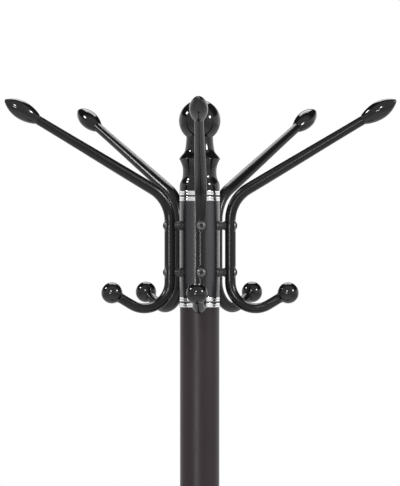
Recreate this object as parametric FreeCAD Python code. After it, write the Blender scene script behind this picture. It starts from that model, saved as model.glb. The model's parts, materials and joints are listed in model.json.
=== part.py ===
"""Standing coat rack: five double hooks on a turning head, a three-section pole and a weighted round base.

Frame: millimetres, +Z up, origin on the floor under the pole's axis. The front hook is screwed on along -Y.
Each named piece is written to parts/NODE.step.
"""

import FreeCAD
import Part
import math
import os
from FreeCAD import Vector

# Driving dimensions ------------------------------------------------------------------------------

TOTAL_HEIGHT = 1750.0
POLE_RADIUS = 19.0
HEAD_RADIUS = 19.3
TUBE_WALL = 1.5
BASE_RADIUS = 200.0

# Clearances
PUSH_FIT = 0.05  # radial gap of a plug, bush or stud in its seat
RUNNING_FIT = 0.05  # radial gap of the head's bush on the pivot stud
END_PLAY = 0.1  # axial play of the turning head

# Ring pair: two chrome rings with a black washer between them, at every joint of the pole
RING_RADIUS = 19.6
RING_HEIGHT = 4.2
RING_EDGE = 0.6  # rounding of a ring's outer edges
WASHER_RADIUS = 18.7
WASHER_HEIGHT = 1.4
PAIR_HEIGHT = 2 * RING_HEIGHT + WASHER_HEIGHT

# Threaded plugs that close the tube ends, each with a boss that centres the ring
PLUG_LENGTH = 20.0
HEAD_PLUG_LENGTH = 14.0
BOSS_RADIUS = 9.0
JOINT_STUD_RADIUS = 5.0
JOINT_STUD_REACH = 18.0  # from the joint's middle to either end of the stud

# Head
HEAD_LENGTH = 92.6
FINIAL_HEIGHT = 87.9
HEAD_MIDDLE = TOTAL_HEIGHT - FINIAL_HEIGHT - PAIR_HEIGHT - HEAD_LENGTH / 2
HEAD_TOP = HEAD_MIDDLE + HEAD_LENGTH / 2
HEAD_BOTTOM = HEAD_MIDDLE - HEAD_LENGTH / 2
FINIAL_BOTTOM = HEAD_TOP + PAIR_HEIGHT
POLE_TOP = HEAD_BOTTOM - PAIR_HEIGHT

# Finial: the turned profile from its bottom face to the neck, as radius, height and the stand-off of
# the arc to the next point (outwards when positive, 0 for a straight line)
FINIAL_PROFILE = (
    (19.3, 0.0, 0.0),  # foot
    (19.3, 5.4, 0.25),
    (17.9, 9.8, -0.45),
    (16.3, 16.6, -1.2),  # waist
    (19.9, 30.7, 0.0),  # ridge
    (19.9, 31.4, 0.0),
    (16.1, 35.8, -0.4),
    (14.0, 40.7, -0.2),  # cove
)
FINIAL_NECK_RADIUS = 12.9
FINIAL_BALL_RADIUS = 20.15
FINIAL_STUD_RADIUS = 4.0
FINIAL_STUD_REACH = 19.0  # above the finial's bottom face
INSERT_RADIUS = 6.0
INSERT_LENGTH = 22.0

# Hooks: a bent rod, drawn in the plane of the pole's axis, heights from the head's middle. The upright
# is round; both bends flatten it a little, so half widths are given across and in that plane.
# Each hook has its name, the swings of its arm and of its lower hook about its own upright, and the
# rise of its arm, in degrees: the hooks are bent by hand, and swing in their saddles as the screws
# are tightened.
HOOKS = (
    ("front", -3.4, -6.4, 29.05),
    ("front_right", -1.1, -2.3, 29.75),
    ("back_right", -2.9, -2.7, 28.55),
    ("back_left", -0.6, -3.2, 28.65),
    ("front_left", -2.75, -3.3, 29.75),
)
HOOK_RADIAL = 30.7  # pole axis to the rod's upright run
ROD_RADIUS = 5.2
ARM_CORNER = 47.8  # height where the upright's and the arm's centre lines meet
ARM_BEND = 35.0  # centre-line radius
ARM_ROOT = (5.85, 5.45)
ARM_END_RADIUS = 4.4
ARM_LENGTH = 152.6  # from the corner to the tip's mouth
HOOK_BEND = 25.5  # centre-line radius of the lower hook
HOOK_BEND_CENTRE = -31.5
HOOK_RISE = 30.0  # degrees above horizontal
HOOK_BOTTOM = (6.15, 4.85)
HOOK_END_RADIUS = 4.7
BALL_RADIAL = 88.8  # pole axis to the ball's centre
BALL_RADIUS = 10.15

# Tip: a pointed teardrop, measured along its own axis from its mouth
TIP_MOUTH_RADIUS = 4.9
TIP_RADIUS = 8.7
TIP_WIDEST_AT = 17.0
TIP_OGIVE = 29.6  # radius of the arc from the widest point to the nose
TIP_NOSE = 2.1
TIP_SOCKET = 18.0
BALL_SOCKET = 9.0
BALL_MOUTH_FLAT = 0.55  # depth of the flat cut round the ball's socket

# Hook fixings: a button-head screw through the rod and a spacer into a rivet nut in the head tube
SCREW_SPACING = 45.0
SCREW_RADIUS = 2.0
SCREW_LENGTH = 25.0
SCREW_HEAD_RADIUS = 4.2
SCREW_HEAD_HEIGHT = 2.2
SCREW_SEAT_DEPTH = 0.6  # how far the seat is sunk into the rod's outer side
SCREW_SOCKET_FLATS = 3.5
SCREW_SOCKET_DEPTH = 1.3
SPACER_RADIUS = 3.9
NUT_FLANGE_RADIUS = 4.6
NUT_FLANGE_THICKNESS = 0.8
NUT_BODY_RADIUS = 3.0
NUT_BULGE_RADIUS = 4.2
NUT_BULGE_LENGTH = 3.0
NUT_LENGTH = 10.0

# Pivot between the pole and the turning head
PIVOT_RADIUS = 5.0
PIVOT_THREAD_RADIUS = 4.0
BUSH_RADIUS = 7.0
BUSH_FLANGE_RADIUS = 9.0
BUSH_FLANGE_THICKNESS = 1.2
LOCK_WASHER_RADIUS = 8.5
LOCK_WASHER_THICKNESS = 1.6
LOCK_NUT_FLATS = 13.0
LOCK_NUT_HEIGHT = 8.0

# Base
FOOT_HEIGHT = 6.0
FOOT_RADIUS = 12.0
FOOT_CIRCLE = 168.0
FOOT_RECESS_RADIUS = 7.0
FOOT_RECESS_DEPTH = 3.0
FOOT_SCREW_RADIUS = 2.0
FOOT_SCREW_HEAD_RADIUS = 4.0
FOOT_SCREW_HEAD_HEIGHT = 2.2
FOOT_SCREW_REACH = 7.0
BALLAST_RADIUS = 186.0
BALLAST_THICKNESS = 8.0
BALLAST_EDGE = 2.0
BALLAST_HUB_RADIUS = 24.0
COVER_SHEET = 1.2
COVER_BOTTOM = 4.0
COVER_RIM_TOP = 12.0
COVER_RIM_BEND = 7.0
COVER_SLOPE_RADIUS = 78.0
COVER_SLOPE_HEIGHT = 26.0
COVER_HUB_RADIUS = 30.0
COVER_HUB_HEIGHT = 46.0
BOLT_FLATS = 17.0
BOLT_HEAD_HEIGHT = 6.4
BOLT_WASHER_RADIUS = 20.0
BOLT_WASHER_THICKNESS = 2.5
BOLT_RECESS_DEPTH = 6.0
BOLT_RECESS_RADIUS = 22.0

POLE_BOTTOM = COVER_HUB_HEIGHT + PAIR_HEIGHT
POLE_SECTIONS = 3
SECTION_LENGTH = (POLE_TOP - POLE_BOTTOM - (POLE_SECTIONS - 1) * PAIR_HEIGHT) / POLE_SECTIONS
SECTION_PITCH = SECTION_LENGTH + PAIR_HEIGHT

HOOK_COUNT = len(HOOKS)
UP = Vector(0, 0, 1)


# Helpers -----------------------------------------------------------------------------------------


def cylinder(radius, bottom, top, inner=0.0):
    """A round bar, or a tube with an inner radius, on the pole's axis."""
    bar = Part.makeCylinder(radius, top - bottom, Vector(0, 0, bottom))
    if inner:
        bar = bar.cut(Part.makeCylinder(inner, top - bottom, Vector(0, 0, bottom)))
    return bar


def rod(radius, start, end):
    """A round bar between two points."""
    along = end - start
    return Part.makeCylinder(radius, along.Length, start, along)


def hexagon(flats, start, along):
    """A hexagonal prism from a point, as long as the vector along."""
    corner = flats / math.sqrt(3)
    points = []
    for i in range(7):
        turn = math.radians(60 * i)
        points.append(Vector(corner * math.cos(turn), corner * math.sin(turn), 0))
    face = Part.Face(Part.makePolygon(points))
    face.Placement = FreeCAD.Placement(start, FreeCAD.Rotation(UP, along))
    return face.extrude(along)


def turned(edges):
    """A solid of revolution about the Z axis, from edges in the XZ plane that close a face."""
    wire = Part.Wire(Part.__sortEdges__(edges))
    return Part.Face(wire).revolve(Vector(0, 0, 0), UP, 360)


def line(a, b):
    return Part.LineSegment(Vector(a[0], 0, a[1]), Vector(b[0], 0, b[1])).toShape()


def arc(a, middle, b):
    points = [Vector(p[0], 0, p[1]) for p in (a, middle, b)]
    return Part.Arc(*points).toShape()


def bulged(a, b, bulge):
    """A profile arc from a to b whose middle stands off the chord by bulge, outwards when positive."""
    middle = ((a[0] + b[0]) / 2, (a[1] + b[1]) / 2)
    chord = math.hypot(b[0] - a[0], b[1] - a[1])
    across = ((b[1] - a[1]) / chord, -(b[0] - a[0]) / chord)
    return arc(a, (middle[0] + across[0] * bulge, middle[1] + across[1] * bulge), b)


def joined(shapes):
    """One compound of separate solids."""
    return Part.makeCompound(shapes)


def one_solid(shape):
    """The single solid of a boolean's result, with its split faces merged."""
    solids = shape.removeSplitter().Solids
    if len(solids) != 1:
        raise ValueError("expected one solid, found %d" % len(solids))
    return solids[0]


def hook_turn(index):
    """Degrees about Z from the +X direction to hook number index; the first points along -Y."""
    return -90.0 + index * 360.0 / HOOK_COUNT


def placed_round_head(shape, index):
    """Turns a shape built in the XZ plane round the pole to hook number index, and lifts it to the head."""
    turn = FreeCAD.Placement(Vector(0, 0, HEAD_MIDDLE), FreeCAD.Rotation(UP, hook_turn(index)))
    copy = shape.copy()
    copy.Placement = turn.multiply(shape.Placement)
    return copy


# Ring pairs and plugs ----------------------------------------------------------------------------


def ring(bottom):
    """A chrome ring with rounded outer edges, bored for the plug's boss."""
    body = cylinder(RING_RADIUS, bottom, bottom + RING_HEIGHT)
    rims = [e for e in body.Edges if isinstance(e.Curve, Part.Circle)]
    body = body.makeFillet(RING_EDGE, rims)
    bore = cylinder(BOSS_RADIUS + PUSH_FIT, bottom, bottom + RING_HEIGHT)
    return one_solid(body.cut(bore))


def washer(bottom, bore):
    return cylinder(WASHER_RADIUS, bottom, bottom + WASHER_HEIGHT, bore)


def plug(face, direction, tube_inner, length, bore):
    """A plug whose end face is flush with the tube's end at height face; direction is 1 for a boss on top."""
    deep = face - direction * length
    body = cylinder(tube_inner - PUSH_FIT, min(face, deep), max(face, deep))
    tip = face + direction * RING_HEIGHT
    boss = cylinder(BOSS_RADIUS, min(face, tip), max(face, tip))
    hole = cylinder(bore, face - length - RING_HEIGHT, face + length + RING_HEIGHT)
    return one_solid(body.fuse(boss).cut(hole))


def pole_plug(face, direction):
    return plug(face, direction, POLE_RADIUS - TUBE_WALL, PLUG_LENGTH, JOINT_STUD_RADIUS)


# Finial ------------------------------------------------------------------------------------------


def finial():
    """The turned finial: foot, waist, sharp ridge, cove and neck, ending in a ball."""
    centre = FINIAL_HEIGHT - FINIAL_BALL_RADIUS
    neck_height = centre - math.sqrt(FINIAL_BALL_RADIUS**2 - FINIAL_NECK_RADIUS**2)
    points = FINIAL_PROFILE + ((FINIAL_NECK_RADIUS, neck_height, 0.0),)
    edges = [line((0, 0), points[0][:2])]
    for here, there in zip(points, points[1:]):
        if here[2]:
            edges.append(bulged(here[:2], there[:2], here[2]))
        else:
            edges.append(line(here[:2], there[:2]))
    edges.append(line(points[-1][:2], (0, neck_height)))
    edges.append(line((0, neck_height), (0, 0)))
    body = turned(edges)
    body = body.fuse(Part.makeSphere(FINIAL_BALL_RADIUS, Vector(0, 0, centre)))
    body.translate(Vector(0, 0, FINIAL_BOTTOM))
    boss = cylinder(BOSS_RADIUS, FINIAL_BOTTOM - RING_HEIGHT, FINIAL_BOTTOM)
    seat_bottom = FINIAL_BOTTOM - RING_HEIGHT
    seat = cylinder(INSERT_RADIUS, seat_bottom, seat_bottom + INSERT_LENGTH)
    drill = cylinder(FINIAL_STUD_RADIUS, seat_bottom, FINIAL_BOTTOM + FINIAL_STUD_REACH + 1)
    return one_solid(body.fuse(boss).cut(seat).cut(drill))


def build_finial_parts(parts):
    seat_bottom = FINIAL_BOTTOM - RING_HEIGHT
    parts["finial"] = finial()
    parts["finial_insert"] = cylinder(
        INSERT_RADIUS - PUSH_FIT, seat_bottom, seat_bottom + INSERT_LENGTH, FINIAL_STUD_RADIUS
    )
    stud_bottom = HEAD_TOP - HEAD_PLUG_LENGTH + 1
    parts["finial_stud"] = cylinder(
        FINIAL_STUD_RADIUS - PUSH_FIT, stud_bottom, FINIAL_BOTTOM + FINIAL_STUD_REACH
    )
    parts["finial_ring"] = ring(FINIAL_BOTTOM - RING_HEIGHT)
    parts["finial_washer"] = washer(HEAD_TOP + RING_HEIGHT, FINIAL_STUD_RADIUS)


# Head --------------------------------------------------------------------------------------------


def head_tube():
    """The short tube that carries the hooks, with two rivet-nut holes at each of them."""
    tube = cylinder(HEAD_RADIUS, HEAD_BOTTOM, HEAD_TOP, HEAD_RADIUS - TUBE_WALL)
    holes = []
    for height in (-SCREW_SPACING / 2, SCREW_SPACING / 2):
        hole = rod(NUT_BODY_RADIUS + PUSH_FIT, Vector(10, 0, height), Vector(HEAD_RADIUS + 2, 0, height))
        holes += [placed_round_head(hole, i) for i in range(HOOK_COUNT)]
    return one_solid(tube.cut(holes))


def build_head_parts(parts):
    inner = HEAD_RADIUS - TUBE_WALL
    parts["head_tube"] = head_tube()
    parts["head_top_ring"] = ring(HEAD_TOP)
    parts["head_top_plug"] = plug(HEAD_TOP, 1, inner, HEAD_PLUG_LENGTH, FINIAL_STUD_RADIUS)
    parts["head_bottom_ring"] = ring(HEAD_BOTTOM - RING_HEIGHT)
    parts["head_bottom_plug"] = plug(HEAD_BOTTOM, -1, inner, HEAD_PLUG_LENGTH, BUSH_RADIUS + PUSH_FIT)


def build_pivot_parts(parts):
    """The stud on the pole, the head's bush on it, and the washers and lock nut that hold the head down."""
    bush_top = HEAD_BOTTOM + HEAD_PLUG_LENGTH
    bush = cylinder(BUSH_RADIUS, HEAD_BOTTOM - RING_HEIGHT, bush_top)
    flange = cylinder(BUSH_FLANGE_RADIUS, bush_top, bush_top + BUSH_FLANGE_THICKNESS)
    hole = cylinder(PIVOT_RADIUS + RUNNING_FIT, HEAD_BOTTOM - PLUG_LENGTH, HEAD_TOP)
    parts["pivot_bush"] = one_solid(bush.fuse(flange).cut(hole))
    shoulder = bush_top + BUSH_FLANGE_THICKNESS + END_PLAY
    washer_top = shoulder + LOCK_WASHER_THICKNESS
    nut_top = washer_top + LOCK_NUT_HEIGHT
    thread = cylinder(PIVOT_THREAD_RADIUS, shoulder, nut_top + 2)
    parts["pivot_stud"] = one_solid(
        cylinder(PIVOT_RADIUS, POLE_TOP - PLUG_LENGTH + 1, shoulder).fuse(thread)
    )
    parts["pivot_washer"] = cylinder(
        LOCK_WASHER_RADIUS, shoulder, washer_top, PIVOT_THREAD_RADIUS + PUSH_FIT
    )
    nut = hexagon(LOCK_NUT_FLATS, Vector(0, 0, washer_top), Vector(0, 0, LOCK_NUT_HEIGHT))
    parts["pivot_lock_nut"] = one_solid(
        nut.cut(cylinder(PIVOT_THREAD_RADIUS + PUSH_FIT, washer_top, nut_top))
    )
    parts["pivot_thrust_washer"] = washer(POLE_TOP + RING_HEIGHT, PIVOT_RADIUS + PUSH_FIT)


# Hooks, in the XZ plane with the pole's axis at X = 0 and the head's middle at Z = 0 ---------------


def direction(rise):
    """The unit vector outwards and up by rise degrees."""
    return Vector(math.cos(math.radians(rise)), 0, math.sin(math.radians(rise)))


def tip_length():
    """Mouth to nose of the teardrop tip."""
    back = TIP_OGIVE - TIP_RADIUS
    nose_centre = TIP_WIDEST_AT + math.sqrt((TIP_OGIVE - TIP_NOSE) ** 2 - back**2)
    return nose_centre + TIP_NOSE


def arm_point(rise, along):
    """A point on the arm's centre line, measured from its corner with the upright."""
    return Vector(HOOK_RADIAL, 0, ARM_CORNER) + direction(rise) * along


def swung(shape, swing):
    """A copy of a shape of the hook's plane, turned about the hook's own upright by swing degrees."""
    upright = Vector(HOOK_RADIAL, 0, 0)
    turn = FreeCAD.Placement(Vector(0, 0, 0), FreeCAD.Rotation(UP, swing), upright)
    copy = shape.copy()
    copy.Placement = turn.multiply(shape.Placement)
    return copy


def hook_exit():
    """The point where the lower bend ends and the short straight to the ball begins."""
    turn = math.radians(HOOK_RISE)
    centre = HOOK_RADIAL + HOOK_BEND
    return Vector(centre + HOOK_BEND * math.sin(turn), 0, HOOK_BEND_CENTRE - HOOK_BEND * math.cos(turn))


def ball_centre():
    start = hook_exit()
    return start + direction(HOOK_RISE) * ((BALL_RADIAL - start.x) / math.cos(math.radians(HOOK_RISE)))


def ball_mouth():
    return ball_centre() - direction(HOOK_RISE) * (BALL_RADIUS - BALL_MOUTH_FLAT)


def section(at, along, half_widths):
    """An oval wire square to the vector along: half width across the hook's plane, then in it."""
    across, deep = half_widths
    normal = along.cross(Vector(0, 1, 0)).normalize()
    if across > deep:
        oval = Part.Ellipse(at + Vector(0, across, 0), at + normal * deep, at)
    else:
        oval = Part.Circle(at, along, across)
    return Part.Wire(oval.toShape())


def swept(path, sections):
    """A solid run along a path of edges in the XZ plane, through the given oval sections."""
    shell = Part.BRepOffsetAPI.MakePipeShell(Part.Wire(path))
    shell.setBiNormalMode(Vector(0, 1, 0))
    for at, along, half_widths in sections:
        shell.add(section(at, along, half_widths), False, False)
    shell.build()
    shell.makeSolid()
    return shell.shape()


def on_bend(centre, radius, turn):
    """The point turn degrees round a bend from its upright side, and the centre line's direction there."""
    rotation = FreeCAD.Rotation(Vector(0, 1, 0), turn)
    return centre + rotation.multVec(Vector(-radius, 0, 0)), rotation.multVec(UP)


def bend_edge(centre, radius, turn):
    points = [on_bend(centre, radius, turn * part)[0] for part in (0.0, 0.5, 1.0)]
    return Part.Arc(*points).toShape()


def upper_arm(rise, upright_top):
    """The upper bend and the tapering arm, as far as the tip's mouth."""
    centre = Vector(HOOK_RADIAL + ARM_BEND, 0, upright_top)
    turn = 90 - rise
    root, along = on_bend(centre, ARM_BEND, turn)
    end = arm_point(rise, ARM_LENGTH)
    path = [bend_edge(centre, ARM_BEND, turn), Part.makeLine(root, end)]
    start = on_bend(centre, ARM_BEND, 0)[0]
    round_rod = (ROD_RADIUS, ROD_RADIUS)
    round_end = (ARM_END_RADIUS, ARM_END_RADIUS)
    return swept(path, [(start, UP, round_rod), (root, along, ARM_ROOT), (end, along, round_end)])


def lower_arm():
    """The lower bend and the short run up to the ball's mouth."""
    centre = Vector(HOOK_RADIAL + HOOK_BEND, 0, HOOK_BEND_CENTRE)
    turn = -(90 + HOOK_RISE)
    start = on_bend(centre, HOOK_BEND, 0)[0]
    lowest = on_bend(centre, HOOK_BEND, -90)[0]
    leave = on_bend(centre, HOOK_BEND, turn)[0]
    end = ball_mouth()
    path = [bend_edge(centre, HOOK_BEND, turn), Part.makeLine(leave, end)]
    round_rod = (ROD_RADIUS, ROD_RADIUS)
    round_end = (HOOK_END_RADIUS, HOOK_END_RADIUS)
    sections = [(start, UP, round_rod), (lowest, Vector(1, 0, 0), HOOK_BOTTOM)]
    sections.append((end, direction(HOOK_RISE), round_end))
    return swept(path, sections)


def hook(arm_swing, hook_swing, rise):
    """The bent rod, with its two screw holes and the seats for the screw heads."""
    upright_top = ARM_CORNER - ARM_BEND * math.tan(math.radians((90 - rise) / 2))
    foot_of_upright = Vector(HOOK_RADIAL, 0, HOOK_BEND_CENTRE)
    upright = rod(ROD_RADIUS, foot_of_upright, Vector(HOOK_RADIAL, 0, upright_top))
    inside_tip = arm_point(rise, ARM_LENGTH + TIP_SOCKET - 1)
    arm_end = rod(ARM_END_RADIUS, arm_point(rise, ARM_LENGTH), inside_tip)
    ball_end = ball_mouth() + direction(HOOK_RISE) * (BALL_SOCKET - 1)
    lower_end = rod(HOOK_END_RADIUS, ball_mouth(), ball_end)
    above = [swung(shape, arm_swing) for shape in (upper_arm(rise, upright_top), arm_end)]
    below = [swung(shape, hook_swing) for shape in (lower_arm(), lower_end)]
    body = upright.fuse(above + below)
    seat_face = HOOK_RADIAL + ROD_RADIUS - SCREW_SEAT_DEPTH
    for height in (-SCREW_SPACING / 2, SCREW_SPACING / 2):
        at = Vector(seat_face, 0, height)
        seat = rod(SCREW_HEAD_RADIUS + 0.3, at, at + Vector(ROD_RADIUS, 0, 0))
        hole = rod(SCREW_RADIUS + 0.2, at - Vector(2 * ROD_RADIUS, 0, 0), at + Vector(ROD_RADIUS, 0, 0))
        body = body.cut([seat, hole])
    return one_solid(body)


def tip(rise):
    """The teardrop tip with a blind socket for the arm's end."""
    back = TIP_OGIVE - TIP_RADIUS
    nose_centre = tip_length() - TIP_NOSE
    reach = nose_centre - TIP_WIDEST_AT
    blend_turn = math.atan2(back, reach)
    blend = (
        TIP_OGIVE * math.sin(blend_turn) - back,
        TIP_WIDEST_AT + TIP_OGIVE * math.cos(blend_turn),
    )
    half_turn = (blend_turn + math.pi / 2) / 2
    ogive_middle = (
        TIP_OGIVE * math.sin(half_turn) - back,
        TIP_WIDEST_AT + TIP_OGIVE * math.cos(half_turn),
    )
    nose_middle = (
        TIP_NOSE * math.sin(blend_turn / 2),
        nose_centre + TIP_NOSE * math.cos(blend_turn / 2),
    )
    mouth = (TIP_MOUTH_RADIUS, 0)
    widest = (TIP_RADIUS, TIP_WIDEST_AT)
    drop = TIP_RADIUS - TIP_MOUTH_RADIUS
    swell = (TIP_WIDEST_AT**2 + drop**2) / (2 * drop)
    swell_turn = math.asin(TIP_WIDEST_AT / swell) / 2
    swell_middle = (
        TIP_RADIUS - swell * (1 - math.cos(swell_turn)),
        TIP_WIDEST_AT - swell * math.sin(swell_turn),
    )
    end = (0, tip_length())
    edges = [
        line((0, 0), mouth),
        arc(mouth, swell_middle, widest),
        arc(widest, ogive_middle, blend),
        arc(blend, nose_middle, end),
        line(end, (0, 0)),
    ]
    body = turned(edges)
    body = one_solid(body.cut(Part.makeCylinder(ARM_END_RADIUS + PUSH_FIT, TIP_SOCKET)))
    body.Placement = FreeCAD.Placement(
        arm_point(rise, ARM_LENGTH), FreeCAD.Rotation(UP, direction(rise))
    )
    return body


def ball():
    """The ball on the lower end, with a blind socket and a small flat round its mouth."""
    centre = ball_centre()
    along = direction(HOOK_RISE)
    mouth = ball_mouth()
    body = Part.makeSphere(BALL_RADIUS, centre)
    flat = rod(BALL_RADIUS, mouth - along * BALL_RADIUS, mouth)
    socket = rod(HOOK_END_RADIUS + PUSH_FIT, mouth, mouth + along * BALL_SOCKET)
    return one_solid(body.cut([flat, socket]))


def hook_screw(height):
    """A button-head screw with a hexagon socket, its head on the seat in the rod's outer side."""
    seat = HOOK_RADIAL + ROD_RADIUS - SCREW_SEAT_DEPTH
    outward = Vector(1, 0, 0)
    at = Vector(seat, 0, height)
    shank = rod(SCREW_RADIUS, at - outward * SCREW_LENGTH, at)
    sphere_radius = (SCREW_HEAD_RADIUS**2 + SCREW_HEAD_HEIGHT**2) / (2 * SCREW_HEAD_HEIGHT)
    dome = Part.makeSphere(sphere_radius, at - outward * (sphere_radius - SCREW_HEAD_HEIGHT))
    head = dome.common(rod(SCREW_HEAD_RADIUS + 1, at, at + outward * SCREW_HEAD_HEIGHT))
    top = at + outward * SCREW_HEAD_HEIGHT
    flat = rod(SCREW_HEAD_RADIUS, top - outward * 0.25, top + outward)
    socket = hexagon(
        SCREW_SOCKET_FLATS, top - outward * SCREW_SOCKET_DEPTH, outward * (SCREW_SOCKET_DEPTH + 1)
    )
    return one_solid(head.fuse(shank).cut([flat, socket]))


def hook_spacer(height):
    """The sleeve between the nut's flange and the rod, saddle-cut to the rod."""
    inner_face = HEAD_RADIUS + NUT_FLANGE_THICKNESS
    sleeve = rod(SPACER_RADIUS, Vector(inner_face, 0, height), Vector(HOOK_RADIAL, 0, height))
    hole = rod(SCREW_RADIUS + 0.2, Vector(inner_face - 1, 0, height), Vector(HOOK_RADIAL, 0, height))
    saddle = rod(ROD_RADIUS, Vector(HOOK_RADIAL, 0, height - 20), Vector(HOOK_RADIAL, 0, height + 20))
    return one_solid(sleeve.cut([hole, saddle]))


def rivet_nut(height):
    """A rivet nut in the head tube: saddle-faced flange, body, and the bulge that grips the wall."""
    outward = Vector(1, 0, 0)
    outer = Vector(HEAD_RADIUS + NUT_FLANGE_THICKNESS, 0, height)
    wall = Vector(HEAD_RADIUS - TUBE_WALL - 0.6, 0, height)
    flange = rod(NUT_FLANGE_RADIUS, outer - outward * 2, outer)
    tube_space = Part.makeCylinder(HEAD_RADIUS, 60, Vector(0, 0, height - 30))
    flange = flange.cut(tube_space)
    body = rod(NUT_BODY_RADIUS, outer - outward * NUT_LENGTH, outer)
    bulge = rod(NUT_BULGE_RADIUS, wall - outward * NUT_BULGE_LENGTH, wall)
    hole = rod(SCREW_RADIUS, outer - outward * (NUT_LENGTH + 1), outer + outward)
    return one_solid(body.fuse([flange, bulge]).cut(hole))


def build_hook_parts(parts):
    for i, (name, arm_swing, hook_swing, rise) in enumerate(HOOKS):
        parts["hook_" + name] = placed_round_head(hook(arm_swing, hook_swing, rise), i)
        parts["tip_" + name] = placed_round_head(swung(tip(rise), arm_swing), i)
        parts["ball_" + name] = placed_round_head(swung(ball(), hook_swing), i)
    fixings = {"hook_screws": hook_screw, "hook_spacers": hook_spacer, "hook_rivet_nuts": rivet_nut}
    for node, make in fixings.items():
        pieces = []
        for height in (-SCREW_SPACING / 2, SCREW_SPACING / 2):
            one = make(height)
            pieces += [placed_round_head(one, i) for i in range(HOOK_COUNT)]
        parts[node] = joined(pieces)


# Pole --------------------------------------------------------------------------------------------


def build_pole_parts(parts):
    """Three tubes, and a ring pair, two plugs and a stud at each joint between them."""
    inner = POLE_RADIUS - TUBE_WALL
    rings, washers, plugs, studs = [], [], [], []
    for i, name in enumerate(("lower", "middle", "upper")):
        bottom = POLE_BOTTOM + i * SECTION_PITCH
        parts["pole_" + name] = cylinder(POLE_RADIUS, bottom, bottom + SECTION_LENGTH, inner)
        rings.append(ring(bottom - RING_HEIGHT))
        rings.append(ring(bottom - PAIR_HEIGHT))
        washers.append(washer(bottom - PAIR_HEIGHT + RING_HEIGHT, JOINT_STUD_RADIUS + PUSH_FIT))
        plugs.append(pole_plug(bottom, -1))
        if i:
            middle = bottom - PAIR_HEIGHT / 2
            plugs.append(pole_plug(bottom - PAIR_HEIGHT, 1))
            studs.append(
                cylinder(JOINT_STUD_RADIUS - PUSH_FIT, middle - JOINT_STUD_REACH, middle + JOINT_STUD_REACH)
            )
    parts["joint_rings"] = joined(rings[2:])
    parts["foot_rings"] = joined(rings[:2])
    parts["joint_washers"] = joined(washers)
    parts["joint_plugs"] = joined(plugs)
    parts["joint_studs"] = joined(studs)
    parts["pole_top_plug"] = pole_plug(POLE_TOP, 1)
    parts["pole_top_ring"] = ring(POLE_TOP)


# Base --------------------------------------------------------------------------------------------


def base_cover():
    """The spun steel cover: upright rim, shallow slope and a bell-shaped hub, all of one sheet."""
    rim_bottom = (BASE_RADIUS, COVER_BOTTOM)
    rim_top = (BASE_RADIUS, COVER_RIM_TOP)
    slope_start = (BASE_RADIUS - COVER_RIM_BEND, COVER_RIM_TOP + COVER_RIM_BEND * 0.86)
    slope_end = (COVER_SLOPE_RADIUS, COVER_SLOPE_HEIGHT)
    hub_side = (COVER_HUB_RADIUS + 2.4, COVER_HUB_HEIGHT - 3.2)
    hub_edge = (COVER_HUB_RADIUS, COVER_HUB_HEIGHT)
    outline = [
        line(rim_bottom, rim_top),
        bulged(rim_top, slope_start, 1.9),
        bulged(slope_start, slope_end, 1.6),
        bulged(slope_end, hub_side, -4.6),
        bulged(hub_side, hub_edge, 0.9),
        line(hub_edge, (BOSS_RADIUS + PUSH_FIT, COVER_HUB_HEIGHT)),
    ]
    sheet = Part.Wire(outline).makeOffset2D(COVER_SHEET, 0, True, True)
    if sheet.BoundBox.XMax > BASE_RADIUS + 0.01:
        sheet = Part.Wire(outline).makeOffset2D(-COVER_SHEET, 0, True, True)
    return one_solid(sheet.Faces[0].revolve(Vector(0, 0, 0), UP, 360))


def base_ballast():
    """The cast-iron disc inside the cover: a hub up to the cover's crown, a recess below for the bolt."""
    bottom, top = FOOT_HEIGHT, FOOT_HEIGHT + BALLAST_THICKNESS
    disc = cylinder(BALLAST_RADIUS, bottom, top)
    rim = [e for e in disc.Edges if isinstance(e.Curve, Part.Circle)]
    disc = disc.makeChamfer(BALLAST_EDGE, rim)
    hub_top = COVER_HUB_HEIGHT - COVER_SHEET - PUSH_FIT
    hub = cylinder(BALLAST_HUB_RADIUS, top, hub_top)
    recess = cylinder(BOLT_RECESS_RADIUS, bottom, bottom + BOLT_RECESS_DEPTH)
    hole = cylinder(JOINT_STUD_RADIUS + 0.5, bottom, hub_top)
    seat = cylinder(BOSS_RADIUS + 0.5, hub_top - RING_HEIGHT, hub_top)
    threads = []
    for x, y in foot_places():
        start = Vector(x, y, bottom)
        threads.append(rod(FOOT_SCREW_RADIUS, start, start + UP * FOOT_SCREW_REACH))
    return one_solid(disc.fuse(hub).cut([recess, hole, seat] + threads))


def foot_places():
    places = []
    for i in range(HOOK_COUNT):
        turn = math.radians(hook_turn(i))
        places.append((FOOT_CIRCLE * math.cos(turn), FOOT_CIRCLE * math.sin(turn)))
    return places


def base_foot(x, y):
    """A rubber foot, open below for its screw."""
    body = Part.makeCylinder(FOOT_RADIUS, FOOT_HEIGHT, Vector(x, y, 0))
    upper = [e for e in body.Edges if isinstance(e.Curve, Part.Circle)]
    body = body.makeFillet(1.0, upper)
    recess = Part.makeCylinder(FOOT_RECESS_RADIUS, FOOT_RECESS_DEPTH, Vector(x, y, 0))
    hole = Part.makeCylinder(FOOT_SCREW_RADIUS + 0.2, FOOT_HEIGHT, Vector(x, y, 0))
    return one_solid(body.cut([recess, hole]))


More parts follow.
